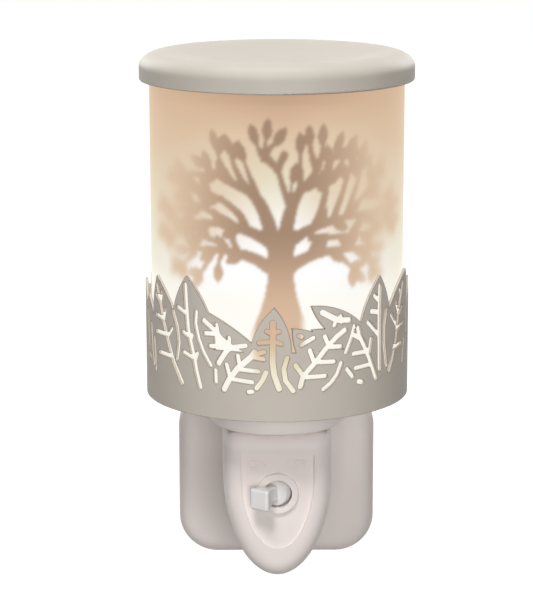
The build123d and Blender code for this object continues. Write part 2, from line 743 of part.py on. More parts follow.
def outwards(face, angle):
    """Prism through the sleeve's wall from a flat shape in the frame at this angle."""
    reach = sleeve_radius + sleeve_gap
    inner = sleeve_inner_radius * math.cos(math.radians(cut_half_spread))
    return extrude(sleeve_frame(angle) * Pos(0, 0, inner) * face, reach - inner)


def capsule(start, end, width):
    """Round-ended slot between two flat points."""
    run = end - start
    tilt = math.degrees(math.atan2(run.Y, run.X))
    middle = (start + end) * 0.5
    return Pos(middle.X, middle.Y) * Rot(0, 0, tilt) * SlotCenterToCenter(run.length, width)


def leaf_shape(base, tip, half_width, place=Vector):
    """Pointed leaf between two flat points, with two arcs for its edges, each point put in its place."""
    run = tip - base
    side = Vector(-run.Y, run.X).normalized() * half_width
    middle = (base + tip) * 0.5
    ends = place(base), place(tip)
    left = ThreePointArc(ends[0], place(middle + side), ends[1])
    right = ThreePointArc(ends[1], place(middle - side), ends[0])
    return make_face(left + right)


def stroke_shape(stroke, middle, width):
    """Round-ended slot along a chain of points, in the frame at the middle angle."""
    points = [in_frame(angle, height, middle) for angle, height in stroke]
    shape = capsule(points[0], points[1], width)
    for start, end in zip(points[1:], points[2:]):
        shape += capsule(start, end, width)
    return shape


def sleeve_leaf(base_angle, base_height, tip_angle, tip_height, half_width):
    """One blade of the top edge as a prism through the sleeve's wall."""
    middle = (base_angle + tip_angle) / 2
    base = in_frame(base_angle, base_height, middle)
    tip = in_frame(tip_angle, tip_height, middle)
    return outwards(leaf_shape(base, tip, half_width), middle)


def sleeve_cuts():
    """Every twig and slit of the front half as prisms through the sleeve's wall."""
    cuts = []
    for midrib, *veins in leaf_twigs:
        middle = (midrib[0][0] + midrib[-1][0]) / 2
        twig = stroke_shape(midrib, middle, midrib_width)
        for vein in veins:
            twig += stroke_shape(vein, middle, vein_width)
        cuts.append(outwards(twig, middle))
    for slit in leaf_slits:
        middle = (slit[0][0] + slit[-1][0]) / 2
        cuts.append(outwards(stroke_shape(slit, middle, slit_width), middle))
    return cuts


def make_leaf_sleeve():
    """Thin steel band with a top edge of leaves and veins cut through, the pattern going round twice."""
    tallest = max(blade[3] for blade in leaf_blades)
    wall = extrude(Circle(sleeve_radius) - Circle(sleeve_inner_radius), tallest + sleeve_wall)
    solid = extrude(Circle(sleeve_radius + sleeve_gap), sleeve_band_height)
    half_turn = Pos(0, -axis_to_wall) * Rot(0, 0, 180) * Pos(0, axis_to_wall)
    blades = [sleeve_leaf(*blade) for blade in leaf_blades]
    cuts = sleeve_cuts()
    sleeve = on_lamp_axis(wall, cup_z) & (
        on_lamp_axis(solid, cup_z) + blades + [half_turn * blade for blade in blades]
    )
    return sleeve - (cuts + [half_turn * cut for cut in cuts])


# Boughs of the tree: start, bend and end as (angle, height above the cup), both half widths, leaf count
tree_boughs = [
    ((-3, 43), (-15, 49.4), (-44, 46.4), 1.8, 0.5, 5),
    ((-17.5, 47.6), (-20, 50), (-21, 53.5), 0.9, 0.8, 0),
    ((-4, 50), (-17, 55.8), (-46, 53.4), 1.6, 0.5, 5),
    ((-22, 48.2), (-28, 50.2), (-42, 50.8), 0.9, 0.5, 4),
    ((-14, 53.8), (-17, 59.5), (-35, 62.6), 1.2, 0.5, 3),
    ((-19, 54), (-28, 57.4), (-44, 59.2), 1.0, 0.5, 4),
    ((-2.5, 51), (-6, 61), (-14, 63.6), 2.0, 1.2, 0),
    ((-11, 62.8), (-22, 65), (-33, 68.5), 1.1, 0.6, 4),
    ((-13, 63), (-18, 67), (-20.5, 72), 1.1, 0.5, 2),
    ((-20, 65.4), (-25, 69), (-27, 73), 0.8, 0.4, 2),
    ((-9, 62), (-12, 66.5), (-14.5, 70.5), 0.9, 0.4, 1),
    ((-28, 66.6), (-36, 66.4), (-46, 66), 0.7, 0.4, 3),
    ((-24, 60.4), (-34, 61), (-49, 63.5), 0.8, 0.4, 4),
    ((3, 51), (5, 60), (10, 63.4), 2.0, 1.1, 0),
    ((9, 62.9), (14, 64.6), (17, 69), 1.1, 0.8, 0),
    ((17, 68), (14.2, 71.5), (13.8, 74.2), 0.9, 0.5, 1),
    ((17, 68), (19.4, 72), (19.4, 74.4), 0.9, 0.5, 1),
    ((12, 63.8), (21, 66), (25.5, 72.5), 1.2, 0.5, 3),
    ((5, 59), (2, 64), (0, 68.6), 0.9, 0.6, 0),
    ((0.3, 68), (-2.5, 71), (-7, 71.8), 0.8, 1.0, 0),
    ((-6, 71.5), (-8, 73), (-9, 74.8), 0.8, 0.4, 1),
    ((-6, 71.5), (-5.5, 73.5), (-5, 76), 0.7, 0.4, 1),
    ((-6, 71.5), (-4, 73.4), (-2, 74.8), 0.7, 0.4, 1),
    ((0, 68), (1, 70.5), (3.4, 72.8), 0.8, 0.9, 0),
    ((9, 62.4), (9.8, 68), (9.6, 72.6), 0.9, 0.4, 1),
    ((5.4, 60.4), (5.2, 63), (6, 65), 0.5, 0.3, 1),
    ((4.5, 49.4), (16, 56.4), (48, 56), 1.6, 0.5, 5),
    ((15, 53.4), (20.6, 59), (21.5, 66), 1.1, 0.7, 3),
    ((24, 55), (29, 62), (33, 69), 1.0, 0.5, 3),
    ((30, 55.4), (36, 62), (39, 69.5), 0.9, 0.4, 3),
    ((21, 64.5), (26, 68), (31, 72), 0.8, 0.4, 2),
    ((34, 57.6), (42, 61), (48, 66), 0.8, 0.4, 4),
    ((5, 43.2), (15, 49), (46, 46.6), 1.8, 0.5, 5),
    ((13, 50.8), (22, 50.8), (44, 51), 0.9, 0.5, 4),
    ((14, 47.2), (16, 49.5), (17, 51.5), 0.8, 0.7, 0),
    ((26, 46.6), (31, 44), (35, 41.5), 0.9, 0.4, 3),
    ((36, 46.8), (41, 44), (46, 41.5), 0.8, 0.4, 3),
    ((-24, 46.8), (-26, 45.4), (-26.2, 44), 0.6, 0.4, 1),
    ((-29, 46.6), (-33, 43), (-35, 41), 0.8, 0.4, 2),
    ((-38, 46.2), (-43, 43.6), (-47, 42), 0.8, 0.4, 3),
    ((-36, 53), (-48, 50), (-58, 49), 0.8, 0.4, 3),
    ((-34, 58), (-46, 57), (-58, 56), 0.8, 0.4, 3),
    ((36, 55.2), (48, 52.5), (60, 52.5), 0.8, 0.4, 3),
    ((40, 60.4), (50, 60), (60, 58), 0.7, 0.4, 3),
]


def tree_point(angle, height):
    """Point on the sheet before it is bent: length round the lamp, and height above the floor."""
    return Vector(tree_radius * math.radians(angle), height - floor_thickness)


def front_view(point):
    """Where a point of the unbent sheet shows from the front once the sheet is bent round the lamp."""
    return Vector(tree_radius * math.sin(point.X / tree_radius), point.Y)


def bough_route(start, bend, end, share):
    """Place on a bough's curve, from 0 at its root to 1 at its end."""
    rest = 1 - share
    return start * (rest * rest) + bend * (2 * rest * share) + end * (share * share)


def bough_heading(start, bend, end, share):
    """Direction of a bough's curve at that place."""
    return ((bend - start) * (1 - share) + (end - bend) * share).normalized()


def bough_shapes(start, bend, end, root_half, end_half, leaves):
    """Tapered bough, the leaf at its end and its alternate leaves, or a bare bough for no leaves."""
    start, bend, end = tree_point(*start), tree_point(*bend), tree_point(*end)
    left, right = [], []
    for section in range(bough_sections + 1):
        share = section / bough_sections
        spot = bough_route(start, bend, end, share)
        heading = bough_heading(start, bend, end, share)
        half = root_half + (end_half - root_half) * share
        side = Vector(-heading.Y, heading.X) * half
        left.append(spot + side)
        right.insert(0, spot - side)
    left = [front_view(point) for point in left]
    right = [front_view(point) for point in right]
    outline = Spline(*left) + Line(left[-1], right[0]) + Spline(*right) + Line(right[-1], left[0])
    shapes = [make_face(outline)]
    if leaves:
        spot = bough_route(start, bend, end, bough_end_leaf)
        tip = end + bough_heading(start, bend, end, 1) * tree_leaf_length
        shapes.append(leaf_shape(spot, tip, tree_leaf_half_width, front_view))
    for leaf in range(leaves - 1):
        share = bough_last_leaf - bough_leaf_pitch * leaf
        spot = bough_route(start, bend, end, share)
        heading = bough_heading(start, bend, end, share)
        turn = tree_leaf_angle if leaf % 2 else -tree_leaf_angle
        tip = spot + heading.rotate(Axis.Z, turn) * tree_leaf_length
        shapes.append(leaf_shape(spot, tip, tree_leaf_half_width, front_view))
    return shapes


def trunk_shape():
    """Trunk from its foot on the floor, over spreading roots and a waist, to where the boughs part."""
    levels = [
        (tree_foot_half_width, 0),
        (tree_foot_half_width, root_height / 2),
        (root_half_spread, root_height),
        (trunk_waist, trunk_waist_height),
        (trunk_crotch, trunk_crotch_height),
    ]
    right = Line(levels[0], levels[1]) + Line(levels[1], levels[2]) + Spline(*levels[2:])
    left_points = [(-half, z) for half, z in levels]
    left = Line(left_points[0], left_points[1]) + Line(left_points[1], left_points[2])
    left += Spline(*left_points[2:])
    ends = Line(left_points[0], levels[0]) + Line(left_points[-1], levels[-1])
    return Pos(trunk_shift, 0) * make_face(right + left + ends)


def make_tree_silhouette():
    """Curved sheet cut as a tree, standing on a folded foot just inside the glass."""
    shapes = [trunk_shape()]
    for bough in tree_boughs:
        shapes += bough_shapes(*bough)
    flat = Sketch() + shapes
    prism = on_lamp_axis(extrude(Plane.XZ * flat, tree_radius), floor_top_z)
    inner = tree_radius - tree_thickness
    sheet = extrude(Circle(tree_radius) - Circle(inner), glass_height)
    tree = prism & on_lamp_axis(sheet, floor_top_z)
    foot = Pos(0, tree_foot_depth / 2 - tree_radius) * Rectangle(2 * tree_foot_half_width, tree_foot_depth)
    foot = extrude(foot & Circle(tree_radius), tree_thickness)
    return tree + on_lamp_axis(foot, floor_top_z)


def make_switch_bezel():
    """Ring on the flat with a neck through the wall, bored for the lever and drilled across for its pin."""
    ring = bore(0, switch_z, bezel_radius, flat_depth, bezel_front_depth)
    ring = fillet(ring.faces().sort_by(Axis.Y)[0].edges(), bezel_edge_round)
    bezel = ring + bore(0, switch_z, bezel_neck_radius, inner_front_depth, flat_depth)
    bezel -= bore(0, switch_z, bezel_bore_radius, inner_front_depth, bezel_front_depth)
    return bezel - pivot_bar(pivot_radius + pivot_seat_clearance, bezel_radius)


def pivot_bar(radius, half_length):
    """Upright round bar on the lever's pivot axis."""
    return Pos(0, -pivot_depth, switch_z) * Cylinder(radius, 2 * half_length)


def make_switch_pivot():
    """Steel pin across the bezel's neck, just shorter than the neck is wide."""
    return pivot_bar(pivot_radius, math.sqrt(bezel_neck_radius ** 2 - pivot_radius ** 2))


def on_lever(shape):
    """Turn a shape made pointing straight forwards to the lever's ON position."""
    return Pos(0, -pivot_depth, switch_z) * Rot(0, 0, -lever_lean) * shape


def make_switch_lever():
    """Flared toggle on a flat-faced ball that fills the ring, with a tail behind the pivot."""
    root = Plane.XZ * RectangleRounded(lever_root_width, lever_root_height, lever_root_corner)
    neck = RectangleRounded(lever_neck_width, lever_neck_height, lever_root_corner)
    end = RectangleRounded(lever_end_width, lever_end_height, lever_root_corner)
    arm = loft([root, facing_plane(lever_neck_length) * neck, facing_plane(lever_length) * end], ruled=True)
    arm = fillet(arm.faces().sort_by(Axis.Y)[0].edges(), lever_end_round)
    tail = extrude(Plane.XZ * Rectangle(tail_width, tail_height), -tail_length)
    ball = split(Sphere(ball_radius), bisect_by=facing_plane(ball_face), keep=Keep.BOTTOM)
    lever = arm + ball + tail
    return on_lever(lever - Cylinder(pivot_radius + pivot_clearance, 2 * ball_radius))


def make_moving_contact():
    """Copper blade across the end of the lever's tail."""
    blade = extrude(facing_plane(-tail_length) * Rectangle(blade_width, tail_height), -blade_thickness)
    return on_lever(blade)


def terminal_level(side):
    """Height of the upper or lower fixed contact."""
    return switch_z + side * terminal_spread


def make_switch_terminals():
    """Two fixed contacts: a pad facing the blade at ON and a stem out through the box's back."""
    terminals = []
    for side in (-1, 1):
        pad = facing_plane(-terminal_reach) * Rectangle(terminal_pad_width, terminal_height)
        pad = on_lever(Pos(0, 0, side * terminal_spread) * extrude(pad, -terminal_pad_thickness))
        level = terminal_level(side)
        stem = bar(
            terminal_x, level, terminal_stem_width, terminal_height, terminal_end_depth, terminal_pad_depth
        )
        terminals.append(pad + stem)
    return Compound(terminals)


def make_switch_body():
    """Box behind the front wall: open to the bezel in front, slotted for the contacts behind."""
    width = 2 * (switch_cavity_half_width + switch_wall)
    height = 2 * (switch_cavity_half_height + switch_wall)
    box = bar(0, switch_z, width, height, switch_back_depth, inner_front_depth)
    cavity_width = 2 * switch_cavity_half_width
    cavity_height = 2 * switch_cavity_half_height
    cavity_front = inner_front_depth - switch_wall
    box -= bar(0, switch_z, cavity_width, cavity_height, switch_cavity_depth, cavity_front)
    box -= bore(0, switch_z, bezel_bore_radius, cavity_front, inner_front_depth)
    for side in (-1, 1):
        slot_width = terminal_stem_width + 2 * terminal_slot_clearance
        slot_height = terminal_height + 2 * terminal_slot_clearance
        level = terminal_level(side)
        box -= bar(terminal_x, level, slot_width, slot_height, switch_back_depth, switch_cavity_depth)
    return box


def make_lead(points):
    """Round insulated wire along straight runs joined by arcs."""
    route = FilletPolyline(*points, radius=lead_bend)
    return sweep(Plane(origin=route @ 0, z_dir=route % 0) * Circle(lead_radius), path=route)


def pin_start(side):
    """Where a lead meets the top of a mains pin's tag."""
    return (side * pin_pitch / 2, -pin_tag_depth, pin_line_z + pin_tag / 2)


def make_live_lead():
    """From the live pin, up the tongue, to the switch's lower contact."""
    x, y, z = pin_start(1)
    level = terminal_level(-1)
    turn_depth = terminal_end_depth - live_lead_straight
    return make_lead([
        (x, y, z), (x, y, lead_level_z), (lead_lane_x, y, lead_level_z),
        (lead_lane_x, -lead_turn_depth, lead_level_z),
        (terminal_x, -turn_depth, level), (terminal_x, -terminal_end_depth, level),
    ])


def make_switched_lead():
    """From the switch's upper contact up through the lampholder to the centre contact."""
    level = terminal_level(1)
    turn_depth = terminal_end_depth - switched_lead_straight
    hole_y = -axis_to_wall - switched_hole_offset
    return make_lead([
        (terminal_x, -terminal_end_depth, level), (terminal_x, -turn_depth, level),
        (terminal_x, -turn_depth, level + switched_lead_rise),
        (0, hole_y, housing_top_z - switched_lead_drop), (0, hole_y, socket_floor_z),
    ])


def make_neutral_lead():
    """From the neutral pin, up the tongue and through the lampholder to the socket shell."""
    x, y, z = pin_start(-1)
    hole_y = -axis_to_wall + neutral_hole_offset
    return make_lead([
        (x, y, z), (x, y, lead_level_z), (-lead_lane_x, y, lead_level_z),
        (-lead_lane_x, -lead_turn_depth, lead_level_z),
        (0, hole_y, housing_top_z - neutral_lead_drop), (0, hole_y, socket_floor_z),
    ])


pieces = {
    "wax_dish": make_wax_dish(),
    "glass_cylinder": make_glass_cylinder(),
    "tree_silhouette": make_tree_silhouette(),
    "leaf_sleeve": make_leaf_sleeve(),
    "cup_floor": make_cup_floor(),
    "lamp_collar": make_lamp_collar(),
    "lamp_holder": make_lamp_holder(),
    "shade_ring": make_shade_ring(),
    "socket_shell": make_socket_shell(),
    "centre_contact": make_centre_contact(),
    "lamp_glass": make_lamp_glass(),
    "lamp_stem": make_lamp_stem(),
    "lamp_filament": make_lamp_filament(),
    "lamp_cap": make_lamp_cap(),
    "lamp_insulator": make_lamp_insulator(),
    "lamp_contact": make_lamp_contact(),
    "front_housing": make_front_housing(),
    "back_cover": make_back_cover(),
    "live_pin": make_mains_pin(pin_pitch / 2),
    "neutral_pin": make_mains_pin(-pin_pitch / 2),
    "pin_sleeves": make_pin_sleeves(),
    "earth_pin": make_earth_pin(),
    "cover_screws": make_cover_screws(),
    "holder_screws": make_holder_screws(),
    "switch_bezel": make_switch_bezel(),
    "switch_body": make_switch_body(),
    "switch_pivot": make_switch_pivot(),
    "switch_lever": make_switch_lever(),
    "moving_contact": make_moving_contact(),
    "switch_terminals": make_switch_terminals(),
    "live_lead": make_live_lead(),
    "switched_lead": make_switched_lead(),
    "neutral_lead": make_neutral_lead(),
}

os.makedirs("parts", exist_ok=True)
for node, piece in pieces.items():
    export_step(piece, f"parts/{node}.step")
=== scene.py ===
import math

import bpy
import numpy as np
from mathutils import Matrix, Vector
from mathutils.bvhtree import BVHTree


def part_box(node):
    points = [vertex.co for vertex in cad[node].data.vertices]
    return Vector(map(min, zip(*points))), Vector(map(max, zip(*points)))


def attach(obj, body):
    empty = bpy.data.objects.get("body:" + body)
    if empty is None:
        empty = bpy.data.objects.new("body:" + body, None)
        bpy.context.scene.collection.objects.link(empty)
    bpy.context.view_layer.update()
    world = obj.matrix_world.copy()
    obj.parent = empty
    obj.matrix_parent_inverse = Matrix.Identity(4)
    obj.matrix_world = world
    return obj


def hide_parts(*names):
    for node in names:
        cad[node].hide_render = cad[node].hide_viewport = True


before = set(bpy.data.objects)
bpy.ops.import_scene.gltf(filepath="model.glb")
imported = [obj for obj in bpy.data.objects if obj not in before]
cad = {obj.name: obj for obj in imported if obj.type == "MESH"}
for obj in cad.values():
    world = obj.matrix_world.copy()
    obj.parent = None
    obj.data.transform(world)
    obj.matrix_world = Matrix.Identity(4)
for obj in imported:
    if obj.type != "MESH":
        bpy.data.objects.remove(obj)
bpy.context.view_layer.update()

# Camera
# A long lens well back from the warmer and a little above its dish, so the rim shows as a thin ellipse.
# It stands slightly to the left, which shows a touch more of the plug plate on that side.
lamp_axis = Vector((0, -0.044, 0))
camera_from_lamp = Vector((-0.00312, -0.6396, 0.2043))
swing_degrees = -0.15
look_down_degrees = 12.32
roll_degrees = -0.1
camera_swing = Matrix.Rotation(math.radians(swing_degrees), 4, "Z")
camera_pitch = Matrix.Rotation(math.radians(90 - look_down_degrees), 4, "X")
camera_roll = Matrix.Rotation(math.radians(roll_degrees), 4, "Z")
camera_data = bpy.data.cameras.new("photo_camera")
camera_data.lens = 134.6
camera_data.sensor_width = 36
camera = bpy.data.objects.new("photo_camera", camera_data)
bpy.context.scene.collection.objects.link(camera)
camera_place = Matrix.Translation(lamp_axis + camera_swing @ camera_from_lamp)
camera.matrix_world = camera_place @ camera_swing @ camera_pitch @ camera_roll
bpy.context.scene.camera = camera
bpy.context.scene.view_settings.view_transform = "Standard"


# Studio
# A pale floor some way under the warmer, which a wall socket would hold in the air, and a white surround.
# The surround is weak, brightest above the camera. One soft box above the camera and one behind it light the
# front, so that round pieces darken to their sides. One hangs over the dish and two light the back.
def linear(hex_colour):
    """sRGB hex colour as linear red, green, blue and a full alpha."""
    parts = [int(hex_colour[i:i + 2], 16) / 255 for i in (1, 3, 5)]
    return [p / 12.92 if p <= 0.04045 else ((p + 0.055) / 1.055) ** 2.4 for p in parts] + [1.0]


def add_node(tree, kind, sockets=None, **settings):
    """Add a shader node, set its settings, then set its sockets or link them to a socket or a node."""
    made = tree.nodes.new(kind)
    for name, value in settings.items():
        setattr(made, name, value)
    for name, value in (sockets or {}).items():
        if isinstance(value, bpy.types.Node):
            value = value.outputs[0]
        if isinstance(value, bpy.types.NodeSocket):
            tree.links.new(value, made.inputs[name])
        else:
            made.inputs[name].default_value = value
    return made


def white_to_viewer(tree):
    """Node that is 1 for what the camera, gloss and glass see, and 0 for light on the object."""
    path = add_node(tree, "ShaderNodeLightPath").outputs
    seen = add_node(tree, "ShaderNodeMath", {0: path["Is Camera Ray"], 1: path["Is Glossy Ray"]},
                    operation="MAXIMUM")
    return add_node(tree, "ShaderNodeMath", {0: seen, 1: path["Is Transmission Ray"]}, operation="MAXIMUM")


world = bpy.data.worlds.new("white_surround")
bpy.context.scene.world = world
world.use_nodes = True
surround = world.node_tree
surround.nodes.clear()
brightest_way = (-0.15, -0.78, 0.60)
outward = add_node(surround, "ShaderNodeTexCoord").outputs["Generated"]
towards = add_node(surround, "ShaderNodeVectorMath", {0: outward, 1: brightest_way},
                   operation="DOT_PRODUCT").outputs["Value"]
fading = add_node(surround, "ShaderNodeMapRange", {
    "Value": towards, "From Min": -0.1, "From Max": 0.9, "To Min": 0.01, "To Max": 0.08})
surround_light = add_node(surround, "ShaderNodeBackground", {"Color": linear("#FFFBF9"), "Strength": fading})
surround_seen = add_node(surround, "ShaderNodeBackground", {"Color": linear("#FFFFFF"), "Strength": 1.0})
surround_mix = add_node(surround, "ShaderNodeMixShader", {
    0: white_to_viewer(surround), 1: surround_light, 2: surround_seen})
add_node(surround, "ShaderNodeOutputWorld", {"Surface": surround_mix})


def new_finish(name):
    """Empty node material and its tree."""
    finish = bpy.data.materials.new(name)
    finish.use_nodes = True
    finish.node_tree.nodes.clear()
    return finish, finish.node_tree


def new_piece(name, points, faces, finish):
    """Mesh object made from points in the row frame."""
    mesh = bpy.data.meshes.new(name)
    mesh.from_pydata(points, [], faces)
    mesh.materials.append(finish)
    piece = bpy.data.objects.new(name, mesh)
    bpy.context.scene.collection.objects.link(piece)
    return piece


floor_z = -0.060
floor_reach = 6.0
floor_white = 0.9
floor_paper, tree = new_finish("white_paper_floor")
floor_lift = add_node(tree, "ShaderNodeMath", {0: white_to_viewer(tree), 1: floor_white},
                      operation="MULTIPLY")
surface = add_node(tree, "ShaderNodeBsdfPrincipled", {
    "Base Color": linear("#6E6D6B"), "Roughness": 0.8,
    "Emission Color": linear("#FFFFFF"), "Emission Strength": floor_lift})
add_node(tree, "ShaderNodeOutputMaterial", {"Surface": surface})
floor = new_piece("studio_floor", [
    (-floor_reach, -floor_reach, floor_z), (floor_reach, -floor_reach, floor_z),
    (floor_reach, floor_reach, floor_z), (-floor_reach, floor_reach, floor_z)], [(0, 1, 2, 3)], floor_paper)


warmer_middle = Vector((0, -0.04, 0.05))


def soft_box(name, place, size, watts):
    """Square area lamp aimed at the middle of the warmer."""
    lamp = bpy.data.lights.new(name, "AREA")
    lamp.shape = "SQUARE"
    lamp.size = size
    lamp.energy = watts
    aim = (warmer_middle - place).to_track_quat("-Z", "Y").to_matrix().to_4x4()
    holder = bpy.data.objects.new(name, lamp)
    holder.matrix_world = Matrix.Translation(place) @ aim
    bpy.context.scene.collection.objects.link(holder)


soft_box("key_soft_box", Vector((-0.22, -1.10, 1.28)), 0.35, 12.5)
soft_box("front_soft_box", Vector((0.10, -1.50, 0.25)), 0.6, 9.3)
soft_box("top_soft_box", Vector((-0.05, 0.25, 1.40)), 0.6, 10.5)
soft_box("back_left_soft_box", Vector((-0.90, 1.30, 0.60)), 0.8, 9)
soft_box("back_right_soft_box", Vector((0.90, 1.30, 0.60)), 0.8, 9)


# Housing, collar and switch ring
# One injection moulding of off-white ABS holds the plug plate and the tongue; the collar and the
# switch ring are small mouldings in the same plastic, pressed on from outside.
def wear(finish, *names):
    """Give CAD nodes a finish."""
    for name in names:
        cad[name].data.materials.clear()
        cad[name].data.materials.append(finish)


# Moulded ABS: an even colour with a faint drift, a soft gloss, and the slight ripple of a cooled moulding.
housing_abs, tree = new_finish("satin_off_white_abs")
place = add_node(tree, "ShaderNodeTexCoord").outputs["Object"]
drift = add_node(tree, "ShaderNodeTexNoise", {"Vector": place, "Scale": 1 / 0.030, "Detail": 3.0})
tint = add_node(tree, "ShaderNodeMix", {"Factor": drift, 6: linear("#F1E7E2"), 7: linear("#F7EEEA")},
                data_type="RGBA")
patches = add_node(tree, "ShaderNodeTexNoise", {"Vector": place, "Scale": 1 / 0.004, "Detail": 3.0})
gloss = add_node(tree, "ShaderNodeMapRange", {"Value": patches, "To Min": 0.34, "To Max": 0.46})
waves = add_node(tree, "ShaderNodeTexNoise", {"Vector": place, "Scale": 1 / 0.006, "Detail": 1.0})
ripple = add_node(tree, "ShaderNodeBump", {"Height": waves, "Strength": 0.12, "Distance": 0.0002})
surface = add_node(tree, "ShaderNodeBsdfPrincipled", {
    "Base Color": tint.outputs[2], "Roughness": gloss, "Normal": ripple, "IOR": 1.53,
    "Specular IOR Level": 0.1})
add_node(tree, "ShaderNodeOutputMaterial", {"Surface": surface})
wear(housing_abs, "front_housing", "lamp_collar", "switch_bezel")


# Switch lettering
# ON and OFF stand up by a third of a millimetre from the flat, moulded with the housing.
# The letters are as tall as the space between the recess's top edge and the ring allows.
letter_height = 0.0027
font_over_letter = 1.4
letter_rise = 0.0003
letter_gap = 0.0014
ring_proud = 0.0012
ring_low, ring_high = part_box("switch_bezel")
flat_y = ring_low.y + ring_proud
letter_foot_z = ring_high.z + letter_gap
for word, x in (("ON", -0.0058), ("OFF", 0.0052)):
    text = bpy.data.curves.new(f"switch_word_{word.lower()}", "FONT")
    text.body = word
    text.size = letter_height * font_over_letter
    text.align_x = "CENTER"
    text.extrude = letter_rise / 2
    text.materials.append(housing_abs)
    letters = bpy.data.objects.new(f"switch_word_{word.lower()}", text)
    letters.matrix_world = (Matrix.Translation((x, flat_y - letter_rise / 2, letter_foot_z))
                            @ Matrix.Rotation(math.radians(90), 4, "X"))
    bpy.context.scene.collection.objects.link(letters)
    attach(letters, "base")


# Back cover
# A flat ABS cover screwed to the plug plate from the wall side, with the fine matt of a spark-eroded mould.
# Its even grain is about a quarter of a millimetre.
cover_abs, tree = new_finish("matt_off_white_abs")
place = add_node(tree, "ShaderNodeTexCoord").outputs["Object"]
drift = add_node(tree, "ShaderNodeTexNoise", {"Vector": place, "Scale": 1 / 0.020, "Detail": 3.0})
tint = add_node(tree, "ShaderNodeMix", {"Factor": drift, 6: linear("#D3CCC9"), 7: linear("#DBD5D2")},
                data_type="RGBA")
grit = add_node(tree, "ShaderNodeTexNoise", {"Vector": place, "Scale": 1 / 0.00025, "Detail": 3.0})
gloss = add_node(tree, "ShaderNodeMapRange", {"Value": grit, "To Min": 0.45, "To Max": 0.65})
pores = add_node(tree, "ShaderNodeBump", {"Height": grit, "Strength": 0.35, "Distance": 0.00005})
surface = add_node(tree, "ShaderNodeBsdfPrincipled", {
    "Base Color": tint.outputs[2], "Roughness": gloss, "Normal": pores, "IOR": 1.53})
add_node(tree, "ShaderNodeOutputMaterial", {"Surface": surface})
wear(cover_abs, "back_cover")


# Plug pins
# Two brass mains pins, half sleeved in black nylon, and a longer black nylon pin that opens the shutters.
# The same brass makes the contacts of the lampholder and the switch.

# Drawn brass: fine lines along the bar, with the dull marks of being plugged in.
drawn_brass, tree = new_finish("drawn_brass")
place = add_node(tree, "ShaderNodeTexCoord").outputs["Object"]
marks = add_node(tree, "ShaderNodeTexNoise", {"Vector": place, "Scale": 1 / 0.003, "Detail": 3.0})
tint = add_node(tree, "ShaderNodeMix", {"Factor": marks, 6: linear("#B08D4F"), 7: linear("#D0AF72")},
                data_type="RGBA")
along_pin = add_node(tree, "ShaderNodeMapping", {"Vector": place, "Scale": (1, 0.04, 1)})
lines = add_node(tree, "ShaderNodeTexNoise", {"Vector": along_pin, "Scale": 1 / 0.0004, "Detail": 2.0})
gloss = add_node(tree, "ShaderNodeMapRange", {"Value": lines, "To Min": 0.18, "To Max": 0.42})
drawn = add_node(tree, "ShaderNodeBump", {"Height": lines, "Strength": 0.3, "Distance": 0.00003})
surface = add_node(tree, "ShaderNodeBsdfPrincipled", {
    "Base Color": tint.outputs[2], "Roughness": gloss, "Normal": drawn, "Metallic": 1.0})
add_node(tree, "ShaderNodeOutputMaterial", {"Surface": surface})
wear(drawn_brass, "live_pin", "neutral_pin", "socket_shell", "centre_contact", "lamp_contact",
     "moving_contact", "switch_terminals")

# Black nylon: a soft sheen broken by a fine grain.
black_nylon, tree = new_finish("black_nylon")
place = add_node(tree, "ShaderNodeTexCoord").outputs["Object"]
drift = add_node(tree, "ShaderNodeTexNoise", {"Vector": place, "Scale": 1 / 0.004, "Detail": 3.0})
tint = add_node(tree, "ShaderNodeMix", {"Factor": drift, 6: linear("#161617"), 7: linear("#222224")},
                data_type="RGBA")
grit = add_node(tree, "ShaderNodeTexNoise", {"Vector": place, "Scale": 1 / 0.0003, "Detail": 3.0})
gloss = add_node(tree, "ShaderNodeMapRange", {"Value": grit, "To Min": 0.35, "To Max": 0.5})
pores = add_node(tree, "ShaderNodeBump", {"Height": grit, "Strength": 0.25, "Distance": 0.00003})
surface = add_node(tree, "ShaderNodeBsdfPrincipled", {
    "Base Color": tint.outputs[2], "Roughness": gloss, "Normal": pores, "IOR": 1.53})
add_node(tree, "ShaderNodeOutputMaterial", {"Surface": surface})
wear(black_nylon, "pin_sleeves", "earth_pin")


# Screws, pivot and cup floor
# Plain steel: screws with a cross slot, the toggle's pin, and the pressed floor of the cup with its vents.
# Zinc plate: bright, with a slight cloudiness.
zinc_steel, tree = new_finish("zinc_plated_steel")
place = add_node(tree, "ShaderNodeTexCoord").outputs["Object"]
clouds = add_node(tree, "ShaderNodeTexNoise", {"Vector": place, "Scale": 1 / 0.005, "Detail": 3.0})
tint = add_node(tree, "ShaderNodeMix", {"Factor": clouds, 6: linear("#A9AAAC"), 7: linear("#C4C5C6")},
                data_type="RGBA")
patches = add_node(tree, "ShaderNodeTexNoise", {"Vector": place, "Scale": 1 / 0.0012, "Detail": 3.0})
gloss = add_node(tree, "ShaderNodeMapRange", {"Value": patches, "To Min": 0.25, "To Max": 0.5})
surface = add_node(tree, "ShaderNodeBsdfPrincipled", {
    "Base Color": tint.outputs[2], "Roughness": gloss, "Metallic": 1.0})
add_node(tree, "ShaderNodeOutputMaterial", {"Surface": surface})
wear(zinc_steel, "cover_screws", "holder_screws", "switch_pivot", "cup_floor")


